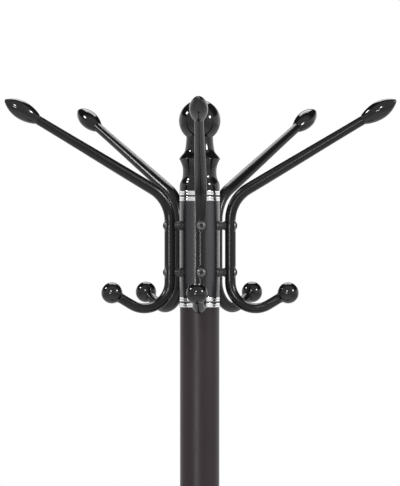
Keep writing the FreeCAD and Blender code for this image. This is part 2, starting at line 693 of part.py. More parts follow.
def foot_screw(x, y):
    """A pan-head screw, from the foot's recess up into the ballast."""
    head_top = FOOT_RECESS_DEPTH
    head = Part.makeCylinder(
        FOOT_SCREW_HEAD_RADIUS, FOOT_SCREW_HEAD_HEIGHT, Vector(x, y, head_top - FOOT_SCREW_HEAD_HEIGHT)
    )
    edges = [e for e in head.Edges if e.BoundBox.ZMax < head_top - FOOT_SCREW_HEAD_HEIGHT / 2]
    head = head.makeFillet(0.8, edges)
    length = FOOT_HEIGHT - head_top + FOOT_SCREW_REACH - 0.5
    shank = Part.makeCylinder(FOOT_SCREW_RADIUS - PUSH_FIT, length, Vector(x, y, head_top))
    return one_solid(head.fuse(shank))


def base_bolt():
    """The hexagon bolt that draws the ballast, cover and pole together."""
    seat = FOOT_HEIGHT + BOLT_RECESS_DEPTH - BOLT_WASHER_THICKNESS
    head = hexagon(BOLT_FLATS, Vector(0, 0, seat), Vector(0, 0, -BOLT_HEAD_HEIGHT))
    shank = cylinder(JOINT_STUD_RADIUS - PUSH_FIT, seat, POLE_BOTTOM + PLUG_LENGTH - 1)
    return one_solid(head.fuse(shank))


def build_base_parts(parts):
    parts["base_cover"] = base_cover()
    parts["base_ballast"] = base_ballast()
    parts["base_feet"] = joined([base_foot(x, y) for x, y in foot_places()])
    parts["base_foot_screws"] = joined([foot_screw(x, y) for x, y in foot_places()])
    washer_top = FOOT_HEIGHT + BOLT_RECESS_DEPTH
    parts["base_bolt"] = base_bolt()
    parts["base_bolt_washer"] = cylinder(
        BOLT_WASHER_RADIUS, washer_top - BOLT_WASHER_THICKNESS, washer_top, JOINT_STUD_RADIUS + 0.5
    )


# Output ------------------------------------------------------------------------------------------


def main():
    parts = {}
    build_finial_parts(parts)
    build_head_parts(parts)
    build_pivot_parts(parts)
    build_hook_parts(parts)
    build_pole_parts(parts)
    build_base_parts(parts)
    os.makedirs("parts", exist_ok=True)
    for node, shape in parts.items():
        if not shape.isValid() or any(s.Volume <= 0 for s in shape.Solids):
            raise ValueError("%s is not a sound solid" % node)
        shape.exportStep("parts/%s.step" % node)
    print("%d nodes, %d solids" % (len(parts), sum(len(s.Solids) for s in parts.values())))


main()
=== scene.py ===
"""The coat rack's looks: detailed pieces, materials, floor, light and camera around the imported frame.

Metres, +Z up, the pole on the Z axis. The camera stands on the -Y side, level with the head.
"""

import json
import math

import bpy
from mathutils import Matrix, Vector


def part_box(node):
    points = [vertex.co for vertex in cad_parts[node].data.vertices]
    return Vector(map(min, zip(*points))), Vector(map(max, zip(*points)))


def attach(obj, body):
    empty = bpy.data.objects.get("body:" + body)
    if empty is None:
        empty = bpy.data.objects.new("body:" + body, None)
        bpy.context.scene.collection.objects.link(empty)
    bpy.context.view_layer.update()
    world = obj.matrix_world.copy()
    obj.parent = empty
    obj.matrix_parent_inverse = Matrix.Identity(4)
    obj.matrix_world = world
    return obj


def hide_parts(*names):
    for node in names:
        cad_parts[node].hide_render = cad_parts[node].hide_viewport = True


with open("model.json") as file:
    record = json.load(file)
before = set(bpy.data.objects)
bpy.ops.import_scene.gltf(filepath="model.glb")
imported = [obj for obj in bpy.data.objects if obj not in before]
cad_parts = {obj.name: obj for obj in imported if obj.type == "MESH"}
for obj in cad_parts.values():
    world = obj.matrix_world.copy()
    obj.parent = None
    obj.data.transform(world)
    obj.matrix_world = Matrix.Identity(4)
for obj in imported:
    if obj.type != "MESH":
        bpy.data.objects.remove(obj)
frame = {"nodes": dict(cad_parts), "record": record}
for spare in ("Cube", "Light", "Camera"):
    if spare in bpy.data.objects:
        bpy.data.objects.remove(bpy.data.objects[spare])
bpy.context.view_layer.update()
NODES = frame["nodes"]
MM = 0.001

# Places read from the frame
HEAD_LOW, HEAD_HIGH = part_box("head_tube")
HEAD_MIDDLE = (HEAD_LOW.z + HEAD_HIGH.z) / 2
FINIAL_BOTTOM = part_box("finial_ring")[1].z
FINIAL_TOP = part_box("finial")[1].z
COVER_LOW, COVER_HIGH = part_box("base_cover")

# Hooks, drawn as the CAD hooks are: in the plane of the pole's axis, heights from the head's middle.
# Each has its name, its turn round the pole, the swings of its arm and of its lower hook about its own
# upright, and its arm's rise, in degrees.
HOOKS = (
    ("front", -90, -3.4, -6.4, 29.05),
    ("front_right", -18, -1.1, -2.3, 29.75),
    ("back_right", 54, -2.9, -2.7, 28.55),
    ("back_left", 126, -0.6, -3.2, 28.65),
    ("front_left", 198, -2.75, -3.3, 29.75),
)
HOOK_RADIAL = 30.7 * MM
ROD_RADIUS = 5.2 * MM
ARM_CORNER = 47.8 * MM
ARM_BEND = 35.0 * MM
ARM_ROOT = (5.85 * MM, 5.45 * MM)
ARM_END = 4.4 * MM
ARM_LENGTH = 152.6 * MM  # from the corner of the upright's and the arm's centre lines to the tip's mouth
LOWER_BEND = 25.5 * MM
LOWER_BEND_CENTRE = -31.5 * MM
LOWER_RISE = 30.0
LOWER_BOTTOM = (6.15 * MM, 4.85 * MM)
LOWER_END = 4.7 * MM
BALL_RADIAL = 88.8 * MM
BALL_RADIUS = 10.15 * MM
BALL_MOUTH = 9.6 * MM  # from the ball's centre to its flat mouth
SCREW_SPACING = 45.0 * MM
SEAT_DEPTH = 0.6 * MM
SCREW_HEAD = (4.2 * MM, 2.2 * MM)
SCREW_SOCKET = (3.5 * MM, 1.3 * MM)
SCREW_SHANK = (2.0 * MM, 25.0 * MM)
SCREW_SEGMENTS = 48
SOCKET_ROWS = 4  # rows of faces at the end of a screw's mesh: its socket and its shank's hidden end

# Materials ---------------------------------------------------------------------------------------


class Shader:
    """A node material being made: one Principled shader, fed by procedural textures in object space."""

    def __init__(self, name, **constants):
        self.material = bpy.data.materials.new(name)
        self.material.use_nodes = True
        self.tree = self.material.node_tree
        self.shader = self.tree.nodes["Principled BSDF"]
        for socket, value in constants.items():
            self.shader.inputs[socket.replace("_", " ")].default_value = value
        self.where = self.node("ShaderNodeTexCoord").outputs["Object"]

    def node(self, kind, **settings):
        made = self.tree.nodes.new(kind)
        for key, value in settings.items():
            setattr(made, key, value)
        return made

    def link(self, source, target):
        self.tree.links.new(source, target)

    def noise(self, scale, detail=3.0, stretch=(1, 1, 1)):
        """Noise of about one feature per 1/scale metres, longer along an axis with a stretch under 1."""
        mapping = self.node("ShaderNodeMapping")
        mapping.inputs["Scale"].default_value = stretch
        self.link(self.where, mapping.inputs["Vector"])
        texture = self.node("ShaderNodeTexNoise")
        texture.inputs["Scale"].default_value = scale
        texture.inputs["Detail"].default_value = detail
        self.link(mapping.outputs["Vector"], texture.inputs["Vector"])
        return texture.outputs["Fac"]

    def spread(self, source, low, high, start=0.35, end=0.65):
        """Maps a texture's value from start..end to low..high."""
        ranged = self.node("ShaderNodeMapRange")
        ranged.inputs["From Min"].default_value = start
        ranged.inputs["From Max"].default_value = end
        ranged.inputs["To Min"].default_value = low
        ranged.inputs["To Max"].default_value = high
        self.link(source, ranged.inputs["Value"])
        return ranged.outputs["Result"]

    def colour(self, source, dark, light, start=0.35, end=0.65):
        ramp = self.node("ShaderNodeValToRGB")
        ramp.color_ramp.elements[0].position = start
        ramp.color_ramp.elements[0].color = (*dark, 1)
        ramp.color_ramp.elements[1].position = end
        ramp.color_ramp.elements[1].color = (*light, 1)
        self.link(source, ramp.inputs["Fac"])
        self.link(ramp.outputs["Color"], self.shader.inputs["Base Color"])

    def roughness(self, source, low, high, start=0.35, end=0.65):
        self.link(self.spread(source, low, high, start, end), self.shader.inputs["Roughness"])

    def bump(self, source, height, strength=1.0):
        """Adds a bump of about that height in metres on top of the earlier ones."""
        made = self.node("ShaderNodeBump")
        made.inputs["Strength"].default_value = strength
        made.inputs["Distance"].default_value = height
        self.link(source, made.inputs["Height"])
        earlier = self.shader.inputs["Normal"]
        if earlier.is_linked:
            self.link(earlier.links[0].from_socket, made.inputs["Normal"])
        self.link(made.outputs["Normal"], self.shader.inputs["Normal"])


def powder_coat(name, dark, light, low, high, **gloss):
    """Satin powder coat: fine orange peel, faint rubbed streaks in its gloss, a slow drift of its shade."""
    s = Shader(name, **gloss)
    s.colour(s.noise(9, 4), dark, light)
    s.roughness(s.noise(700, 3, (1, 1, 0.06)), low, high)
    s.bump(s.noise(1400, 2), 0.00003, 0.5)
    s.bump(s.noise(300, 2), 0.00002, 0.3)
    return s.material


def hook_paint():
    s = Shader("hook_paint", Specular_IOR_Level=0.36)
    s.colour(s.noise(40, 3), (0.002, 0.002, 0.002), (0.004, 0.004, 0.004))
    s.roughness(s.noise(70, 3), 0.22, 0.27)
    s.bump(s.noise(60, 2), 0.00003, 0.3)
    return s.material


def gloss_black():
    s = Shader("gloss_black", Specular_IOR_Level=0.5)
    s.colour(s.noise(60, 3), (0.003, 0.003, 0.003), (0.006, 0.006, 0.006))
    s.roughness(s.noise(400, 3), 0.06, 0.10)
    s.bump(s.noise(130, 2), 0.00002, 0.3)
    return s.material


def chrome():
    s = Shader("chrome", Metallic=1.0)
    s.colour(s.noise(200, 3), (0.95, 0.96, 0.97), (0.99, 0.99, 0.99))
    s.roughness(s.noise(700, 3), 0.05, 0.10)
    s.bump(s.noise(40, 2, (1, 1, 60)), 0.00001, 0.2)
    return s.material


def plain_metal(name, dark, light, low, high, grain=700, height=0.00003):
    s = Shader(name, Metallic=1.0)
    s.colour(s.noise(120, 4), dark, light)
    s.roughness(s.noise(grain, 3), low, high)
    s.bump(s.noise(grain, 3), height, 0.4)
    return s.material


def plain_solid(name, dark, light, low, high, grain=900, height=0.00004):
    s = Shader(name)
    s.colour(s.noise(150, 4), dark, light)
    s.roughness(s.noise(grain, 3), low, high)
    s.bump(s.noise(grain, 3), height, 0.5)
    return s.material


MATERIALS = {
    "pole_paint": powder_coat(
        "pole_paint", (0.0195, 0.0130, 0.0155), (0.0235, 0.0158, 0.0185), 0.34, 0.42, Specular_IOR_Level=0.3
    ),
    "hook_paint": hook_paint(),
    "gloss_black": gloss_black(),
    "chrome": chrome(),
    "screw_black": plain_metal(
        "screw_black", (0.13, 0.13, 0.14), (0.18, 0.18, 0.19), 0.40, 0.50, 2500, 0.000004
    ),
    "black_plastic": plain_solid("black_plastic", (0.008, 0.008, 0.008), (0.014, 0.014, 0.014), 0.45, 0.6),
    "acetal": plain_solid("acetal", (0.012, 0.012, 0.012), (0.018, 0.018, 0.018), 0.35, 0.5),
    "alloy": plain_metal("alloy", (0.55, 0.56, 0.57), (0.68, 0.68, 0.69), 0.3, 0.45),
    "zinc_steel": plain_metal("zinc_steel", (0.52, 0.53, 0.55), (0.66, 0.66, 0.64), 0.22, 0.36),
    "brass": plain_metal("brass", (0.62, 0.45, 0.18), (0.78, 0.60, 0.28), 0.2, 0.32),
    "iron": plain_solid("iron", (0.030, 0.029, 0.028), (0.060, 0.057, 0.054), 0.6, 0.85, 500, 0.0002),
    "rubber": plain_solid("rubber", (0.012, 0.012, 0.012), (0.022, 0.022, 0.022), 0.6, 0.8),
}
SLOTS = {row["node"]: row["material_slot"] for row in frame["record"]["subparts"]}
for node, slot in SLOTS.items():
    NODES[node].data.materials.clear()
    NODES[node].data.materials.append(MATERIALS[slot])
HEAD_GLOSS = {"Specular_IOR_Level": 0.45, "Coat_Weight": 0.8, "Coat_Roughness": 0.2}
NODES["head_tube"].data.materials[0] = powder_coat(
    "head_paint", (0.005, 0.0045, 0.008), (0.008, 0.0075, 0.011), 0.36, 0.44, **HEAD_GLOSS
)

# Mesh building -----------------------------------------------------------------------------------


def piece(name, meshes, body, replaced, sharp=35):
    """One object from several (points, faces) meshes, standing for CAD nodes, in their slot's material."""
    points, faces = [], []
    for some_points, some_faces in meshes:
        first = len(points)
        points += some_points
        faces += [[first + i for i in face] for face in some_faces]
    mesh = bpy.data.meshes.new(name)
    mesh.from_pydata(points, [], faces)
    mesh.validate()
    mesh.shade_smooth()
    mesh.set_sharp_from_angle(angle=math.radians(sharp))
    made = bpy.data.objects.new(name, mesh)
    bpy.context.scene.collection.objects.link(made)
    slot = SLOTS[replaced[0]]
    mesh.materials.append(MATERIALS[slot])
    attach(made, body)
    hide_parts(*replaced)
    return made


def placed(mesh, matrix):
    points, faces = mesh
    return [matrix @ Vector(p) for p in points], faces


def lathe(profile, segments=96):
    """A profile of (radius, height) turned about Z, and closed if it doesn't start and end on the axis."""
    points, rows, faces = [], [], []
    for radius, height in profile:
        if radius < 1e-9:
            rows.append([len(points)] * segments)
            points.append((0, 0, height))
            continue
        rows.append(list(range(len(points), len(points) + segments)))
        for i in range(segments):
            turn = 2 * math.pi * i / segments
            points.append((radius * math.cos(turn), radius * math.sin(turn), height))
    pairs = list(zip(rows, rows[1:]))
    if profile[0][0] > 1e-9:
        pairs.append((rows[-1], rows[0]))
    for below, above in pairs:
        for i in range(segments):
            j = (i + 1) % segments
            corners = [below[i], below[j], above[j], above[i]]
            face = [c for n, c in enumerate(corners) if c not in corners[:n]]
            if len(face) > 2:
                faces.append(face)
    return points, faces


def fillet(corners, steps=4, closed=False):
    """The outline through corners of (radius, height, fillet radius), each corner rounded by that much."""
    outline = []
    last = len(corners) - 1
    for i, (x, y, size) in enumerate(corners):
        here = Vector((x, y))
        if not size or (not closed and i in (0, last)):
            outline.append((x, y))
            continue
        before = Vector(corners[i - 1][:2]) - here
        after = Vector(corners[(i + 1) % len(corners)][:2]) - here
        half = before.angle(after) / 2
        reach = min(size / math.tan(half), before.length * 0.49, after.length * 0.49)
        radius = reach * math.tan(half)
        centre = here + (before.normalized() + after.normalized()).normalized() * (radius / math.sin(half))
        start = here + before.normalized() * reach - centre
        sweep = start.angle_signed(here + after.normalized() * reach - centre)
        for step in range(steps + 1):
            turn = Matrix.Rotation(-sweep * step / steps, 2)
            outline.append(tuple(centre + turn @ start))
    return outline


def arc_between(a, b, bulge, steps):
    """Points after a, up to b, on the arc that stands off its chord by bulge, outwards when positive."""
    chord = math.dist(a, b)
    across = Vector((b[1] - a[1], a[0] - b[0])) / chord
    radius = (chord**2 / 4 + bulge**2) / (2 * abs(bulge))
    middle = (Vector(a) + Vector(b)) / 2
    centre = middle + across * (bulge - math.copysign(radius, bulge))
    start, end = Vector(a) - centre, Vector(b) - centre
    sweep = start.angle_signed(end)
    return [tuple(centre + Matrix.Rotation(-sweep * n / steps, 2) @ start) for n in range(1, steps + 1)]


def along_axis(at, direction):
    """The matrix that lays a lathe's Z axis along a direction, from a point."""
    turn = Vector(direction).normalized().to_track_quat("Z", "Y").to_matrix().to_4x4()
    return Matrix.Translation(at) @ turn


def hook_matrix(turn):
    """From a hook's own plane (X away from the pole, Z up from the head's middle) to its place."""
    return Matrix.Translation((0, 0, HEAD_MIDDLE)) @ Matrix.Rotation(math.radians(turn), 4, "Z")


def swung(degrees):
    """A swing of part of a hook about its own upright."""
    axis = Vector((HOOK_RADIAL, 0, 0))
    turn = Matrix.Rotation(math.radians(degrees), 4, "Z")
    return Matrix.Translation(axis) @ turn @ Matrix.Translation(-axis)


# Hooks -------------------------------------------------------------------------------------------

ROD_STEP = 1.5 * MM
SEAT_STEP = 0.6 * MM
SEAT_RIM = 4.4 * MM  # the screw's seat is flat this far from its axis, and rises beyond
SEAT_DISH = 9.0 * MM  # the radius-like measure of that rise
SEAT_SPREAD = 0.25 * MM  # how far the pressed metal spreads each side
EGG = 2.6  # how much wider a bend's inner side is than its outer one, for how oval it is


def unit(degrees):
    return Vector((math.cos(math.radians(degrees)), 0, math.sin(math.radians(degrees))))


def on_bend(centre, radius, heading):
    """The point of a clockwise bend where the rod heads at so many degrees above outwards."""
    return centre - radius * Vector((math.sin(math.radians(heading)), 0, -math.cos(math.radians(heading))))


def eased(a, b, share):
    ease = share * share * (3 - 2 * share)
    return [p + (q - p) * ease for p, q in zip(a, b)]


def ball_centre():
    start = on_bend(Vector((HOOK_RADIAL + LOWER_BEND, 0, LOWER_BEND_CENTRE)), LOWER_BEND, 180 + LOWER_RISE)
    return start + unit(LOWER_RISE) * ((BALL_RADIAL - start.x) / math.cos(math.radians(LOWER_RISE)))


def tip_mouth(rise):
    return Vector((HOOK_RADIAL, 0, ARM_CORNER)) + unit(rise) * ARM_LENGTH


def hook_stations(rise):
    """Stations from the ball up to the tip: point, heading, half widths across and in the hook's plane."""
    stations = []

    def straight(start, end, heading, wide_start, wide_end, step=ROD_STEP):
        count = max(1, round((end - start).length / step))
        for n in range(count):
            stations.append((start.lerp(end, n / count), heading, eased(wide_start, wide_end, n / count)))

    def bend(centre, radius, first, last, wide_start, wide_end):
        count = round(math.radians(abs(first - last)) * radius / ROD_STEP)
        for n in range(count):
            heading = first + (last - first) * n / count
            widths = eased(wide_start, wide_end, n / count)
            stations.append((on_bend(centre, radius, heading), heading, widths))

    round_rod = (ROD_RADIUS, ROD_RADIUS)
    lower_end = (LOWER_END, LOWER_END)
    arm_end = (ARM_END, ARM_END)
    lower = Vector((HOOK_RADIAL + LOWER_BEND, 0, LOWER_BEND_CENTRE))
    leave = 180 + LOWER_RISE
    mouth = ball_centre() - unit(LOWER_RISE) * BALL_MOUTH
    exit_point = on_bend(lower, LOWER_BEND, leave)
    chamfered = (LOWER_END - 0.5 * MM, LOWER_END - 0.5 * MM)
    hidden_end, chamfer_foot = mouth + unit(LOWER_RISE) * 8 * MM, mouth + unit(LOWER_RISE) * 7.5 * MM
    straight(hidden_end, chamfer_foot, leave, chamfered, lower_end)
    straight(chamfer_foot, mouth, leave, lower_end, lower_end)
    run = (exit_point - mouth).length
    run_out = run / (run + math.radians(LOWER_RISE) * LOWER_BEND)
    at_exit = eased(lower_end, LOWER_BOTTOM, run_out)
    straight(mouth, exit_point, leave, lower_end, at_exit)
    bend(lower, LOWER_BEND, leave, 180, at_exit, LOWER_BOTTOM)
    bend(lower, LOWER_BEND, 180, 90, LOWER_BOTTOM, round_rod)
    upright_top = ARM_CORNER - ARM_BEND * math.tan(math.radians((90 - rise) / 2))
    foot, top = Vector((HOOK_RADIAL, 0, LOWER_BEND_CENTRE)), Vector((HOOK_RADIAL, 0, upright_top))
    straight(foot, top, 90, round_rod, round_rod, SEAT_STEP)
    upper = Vector((HOOK_RADIAL + ARM_BEND, 0, upright_top))
    bend(upper, ARM_BEND, 90, rise, round_rod, ARM_ROOT)
    root, end = on_bend(upper, ARM_BEND, rise), tip_mouth(rise)
    straight(root, end, rise, ARM_ROOT, arm_end)
    inside = end + unit(rise) * 17 * MM
    straight(end, inside, rise, arm_end, arm_end)
    stations.append((inside, rise, (ARM_END - 0.5 * MM, ARM_END - 0.5 * MM)))
    return stations


def pressed_seat(point):
    """Moves a point of the upright inwards where a screw's seat is pressed into its outer side."""
    across, outwards = point.y, point.x - HOOK_RADIAL
    height = abs(abs(point.z) - SCREW_SPACING / 2)
    allowed = ROD_RADIUS - SEAT_DEPTH + max(0.0, math.hypot(across, height) - SEAT_RIM) ** 2 / SEAT_DISH
    spread = SEAT_SPREAD * math.exp(-((height / SEAT_RIM) ** 2)) * min(1.0, abs(across) / (ROD_RADIUS / 2))
    return Vector((HOOK_RADIAL + min(outwards, allowed), across + math.copysign(spread, across), point.z))


def rod_mesh(rise, arm_swing, hook_swing, segments=56):
    """The bent rod: sections square to its run, egg-shaped where it is bent tightly, closed at both ends."""
    points, faces = [], []
    stations = hook_stations(rise)
    upright_top = ARM_CORNER - ARM_BEND * math.tan(math.radians((90 - rise) / 2))
    for middle, heading, (across, deep) in stations:
        outer_side = unit(heading + 90)
        egg = EGG * (across - deep) / (across + deep)
        swing = swung(0)
        if heading > 90:
            swing = swung(hook_swing)
        elif middle.z >= upright_top:
            swing = swung(arm_swing)
        for i in range(segments):
            turn = 2 * math.pi * i / segments
            wide = across * math.sin(turn) * (1 - egg * math.cos(turn))
            point = middle + outer_side * (deep * math.cos(turn)) + Vector((0, wide, 0))
            if heading <= 90:
                point = pressed_seat(point)
            points.append(swing @ point)
    for row in range(len(stations) - 1):
        for i in range(segments):
            j = (i + 1) % segments
            first, above = row * segments, (row + 1) * segments
            faces.append((first + i, above + i, above + j, first + j))
    faces.append(tuple(range(segments)))
    faces.append(tuple(reversed(range(len(points) - segments, len(points)))))
    return points, faces


def tip_mesh():
    """The teardrop tip on Z from its mouth: rolled lip, swell, pointed ogive, blind socket."""
    mouth, widest, nose = 4.9 * MM, 8.7 * MM, 2.1 * MM
    widest_at, ogive = 17.0 * MM, 29.6 * MM
    back = ogive - widest
    nose_centre = widest_at + math.sqrt((ogive - nose) ** 2 - back**2)
    blend = math.atan2(back, nose_centre - widest_at)
    drop = widest - mouth
    swell = (widest_at**2 + drop**2) / (2 * drop)
    profile = [(0, 18 * MM), (ARM_END + 0.05 * MM, 18 * MM), (ARM_END + 0.05 * MM, 0.5 * MM)]
    profile += [(ARM_END + 0.2 * MM, 0.1 * MM), (mouth - 0.25 * MM, 0), (mouth - 0.05 * MM, 0.15 * MM)]
    for n in range(1, 25):
        turn = math.asin(widest_at / swell) * (1 - n / 24)
        profile.append((widest - swell * (1 - math.cos(turn)), widest_at - swell * math.sin(turn)))
    for n in range(1, 33):
        turn = math.pi / 2 + (blend - math.pi / 2) * n / 32
        profile.append((ogive * math.sin(turn) - back, widest_at + ogive * math.cos(turn)))
    for n in range(1, 9):
        turn = blend * (1 - n / 8)
        profile.append((nose * math.sin(turn), nose_centre + nose * math.cos(turn)))
    profile[-1] = (0, nose_centre + nose)
    return lathe(profile, 80)


def ball_mesh():
    """The ball on Z from its centre, with a short collar at its mouth and a blind socket."""
    collar = LOWER_END + 0.55 * MM
    bore = LOWER_END + 0.05 * MM
    profile = [(0, -BALL_MOUTH + 9 * MM), (bore, -BALL_MOUTH + 9 * MM), (bore, -BALL_MOUTH + 0.3 * MM)]
    profile += [(bore + 0.15 * MM, -BALL_MOUTH), (collar - 0.2 * MM, -BALL_MOUTH)]
    profile.append((collar, -BALL_MOUTH + 0.2 * MM))
    start = math.asin(collar / BALL_RADIUS)
    for n in range(49):
        turn = start + (math.pi - start) * n / 48
        profile.append((BALL_RADIUS * math.sin(turn), -BALL_RADIUS * math.cos(turn)))
    profile[-1] = (0, BALL_RADIUS)
    return lathe(profile, 80)


def screw_mesh(segments=SCREW_SEGMENTS):
    """A button-head screw along Z, its seat at the origin: domed head, hexagon socket, shank below."""
    (radius, height), (flats, depth), (shank, length) = SCREW_HEAD, SCREW_SOCKET, SCREW_SHANK
    chamfer = 0.3 * MM
    sphere = (radius**2 + height**2) / (2 * height)
    rings = [(shank - chamfer, -length, 0), (shank, chamfer - length, 0), (shank, 0, 0)]
    rings += [(radius - 0.2 * MM, 0, 0), (radius, 0.2 * MM, 0)]
    flat = 2.3 * MM
    for n in range(1, 13):
        r = radius + (flat - radius) * n / 12
        rings.append((r, height - sphere + math.sqrt(sphere**2 - r * r), 0))
    crown = rings[-1][1]
    half = flats / 2
    rings += [(half + 0.25 * MM, crown, 1), (half, crown - 0.2 * MM, 1), (half, crown - depth, 1)]
    points, faces = [], []
    for r, z, hexagonal in rings:
        for i in range(segments):
            turn = 2 * math.pi * i / segments
            reach = r
            if hexagonal:
                reach = r / math.cos((turn % (math.pi / 3)) - math.pi / 6)
            points.append(Vector((reach * math.cos(turn), reach * math.sin(turn), z)))
    for row in range(len(rings) - 1):
        for i in range(segments):
            j = (i + 1) % segments
            first, above = row * segments, (row + 1) * segments
            faces.append((first + i, first + j, above + j, above + i))
    centre = len(points)
    points += [Vector((0, 0, crown - depth - 0.5 * MM)), Vector((0, 0, -length))]
    last = (len(rings) - 1) * segments
    for i in range(segments):
        j = (i + 1) % segments
        faces.append((last + i, last + j, centre))
        faces.append((j, i, centre + 1))
    return points, faces


def spacer_mesh(segments=64):
    """The sleeve from the nut's flange to the rod, along X in the hook's plane, flared to the rod's curve."""
    inner = HEAD_HIGH.x + 0.8 * MM
    bore = 2.2 * MM
    outline = [(bore, 0.0), (3.6, 0.0), (3.9, 0.04), (3.9, 0.35), (3.9, 0.6)]
    outline += [(4.1, 0.8), (4.5, 0.94), (4.8, 1.0)]
    points, faces = [], []
    rows = [(r if n == 0 else r * MM, share) for n, (r, share) in enumerate(outline)] + [(bore, 1.0)]
    for radius, share in rows:
        for i in range(segments):
            turn = 2 * math.pi * i / segments
            y, z = radius * math.cos(turn), radius * math.sin(turn)
            saddle = HOOK_RADIAL - math.sqrt(ROD_RADIUS**2 - y * y)
            points.append(Vector((inner + (saddle - inner) * share, y, z)))
    for row in range(len(rows)):
        above = (row + 1) % len(rows)
        for i in range(segments):
            j = (i + 1) % segments
            first, next_first = row * segments, above * segments
            faces.append((first + i, first + j, next_first + j, next_first + i))
    return points, faces


def build_hooks():
    screws, spacers = [], []
    tip, ball, screw, spacer = tip_mesh(), ball_mesh(), screw_mesh(), spacer_mesh()
    for name, turn, arm_swing, hook_swing, rise in HOOKS:
        place = hook_matrix(turn)
        piece("rod_" + name, [placed(rod_mesh(rise, arm_swing, hook_swing), place)], "head", ["hook_" + name])
        on_arm = swung(arm_swing) @ along_axis(tip_mouth(rise), unit(rise))
        piece("teardrop_" + name, [placed(tip, place @ on_arm)], "head", ["tip_" + name])
        on_hook = swung(hook_swing) @ along_axis(ball_centre(), unit(LOWER_RISE))
        piece("knob_" + name, [placed(ball, place @ on_hook)], "head", ["ball_" + name])
        for height in (-SCREW_SPACING / 2, SCREW_SPACING / 2):
            seat = Vector((HOOK_RADIAL + ROD_RADIUS - SEAT_DEPTH, 0, height))
            screws.append(placed(screw, place @ along_axis(seat, (1, 0, 0))))
            spacers.append(placed(spacer, place @ Matrix.Translation((0, 0, height))))
    heads = piece("button_screws", screws, "head", ["hook_screws"], sharp=28)
    # The sockets and the shanks' hidden ends take a near-black material: painted shade in the recess, not the
    # oxide's own colour.
    heads.data.materials.append(plain_solid("socket_painted_shade", (0.004,) * 3, (0.008,) * 3, 0.5, 0.7))
    count = len(screw[1])
    for face in heads.data.polygons:
        if face.index % count >= count - SOCKET_ROWS * SCREW_SEGMENTS:
            face.material_index = 1
    sleeves = piece("sleeves", spacers, "head", ["hook_spacers"])
    grey = (0.030, 0.030, 0.031), (0.042, 0.042, 0.043)
    sleeves.data.materials[0] = plain_solid("sleeve_paint", *grey, 0.35, 0.45)


# Finial and rings --------------------------------------------------------------------------------

RING_HEIGHT = 4.2  # millimetres, as the outlines below are


def finial_mesh():
    """The turned finial: rounded foot, waist, crisp ridge, cove and neck, ending in a ball."""
    ball = 20.15
    top = (FINIAL_TOP - FINIAL_BOTTOM) / MM
    centre = top - ball
    neck = 12.9
    neck_height = centre - math.sqrt(ball**2 - neck**2)
    outline = [(0.0, 19.0), (4.0, 19.0), (4.0, 17.8), (6.0, 17.8), (6.0, -4.2), (9.0, -4.2), (9.0, 0.0)]
    outline += fillet([(9.0, 0.0, 0), (19.3, 0.0, 0.9), (19.3, 5.4, 0)], 5)[1:]
    bends = ((19.3, 5.4, 0.25), (17.9, 9.8, -0.45), (16.3, 16.6, -1.2), (19.75, 30.6, 0.0))
    for here, there in zip(bends, bends[1:]):
        outline += arc_between(here[:2], there[:2], here[2], 14)
    outline += [(19.88, 30.85), (19.9, 31.1), (19.84, 31.35), (19.7, 31.5)]
    outline += arc_between((19.7, 31.5), (16.1, 35.8), 0.12, 8)
    outline += arc_between((16.1, 35.8), (14.0, 40.7), -0.4, 10)
    outline += arc_between((14.0, 40.7), (neck, neck_height), -0.2, 10)
    start = math.pi - math.asin(neck / ball)
    for n in range(1, 65):
        turn = start * (1 - n / 64)
        outline.append((ball * math.sin(turn), centre + ball * math.cos(turn)))
    outline[-1] = (0.0, top)
    return lathe([(r * MM, z * MM) for r, z in outline], 128)


def ring_mesh(bottom):
    """A chrome ring of two shallow beads with a fine groove between them."""
    outer, inner = 19.6, 9.05
    middle = RING_HEIGHT / 2
    corners = [(inner, 0, 0.2), (outer, 0, 0.35), (outer, middle - 0.35, 0.25), (outer - 0.3, middle, 0.1)]
    corners += [(outer, middle + 0.35, 0.25), (outer, RING_HEIGHT, 0.35), (inner, RING_HEIGHT, 0.2)]
    outline = fillet(corners, 4, closed=True)
    return placed(lathe([(r * MM, z * MM) for r, z in outline], 128), Matrix.Translation((0, 0, bottom)))


def build_rings():
    for node in ("finial_ring", "head_top_ring", "head_bottom_ring"):
        piece("band_" + node, [ring_mesh(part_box(node)[0].z)], "head", [node])
    piece("band_pole_top_ring", [ring_mesh(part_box("pole_top_ring")[0].z)], "stand", ["pole_top_ring"])
    pole_tops = [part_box(node)[1].z for node in ("pole_lower", "pole_middle")]
    height = RING_HEIGHT * MM
    upper = [ring_mesh(top) for top in pole_tops]
    upper += [ring_mesh(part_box(node)[0].z - height) for node in ("pole_middle", "pole_upper")]
    piece("band_joint_rings", upper, "stand", ["joint_rings"])
    foot = [ring_mesh(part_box("foot_rings")[0].z), ring_mesh(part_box("foot_rings")[1].z - height)]
    piece("band_foot_rings", foot, "stand", ["foot_rings"])


# Base --------------------------------------------------------------------------------------------


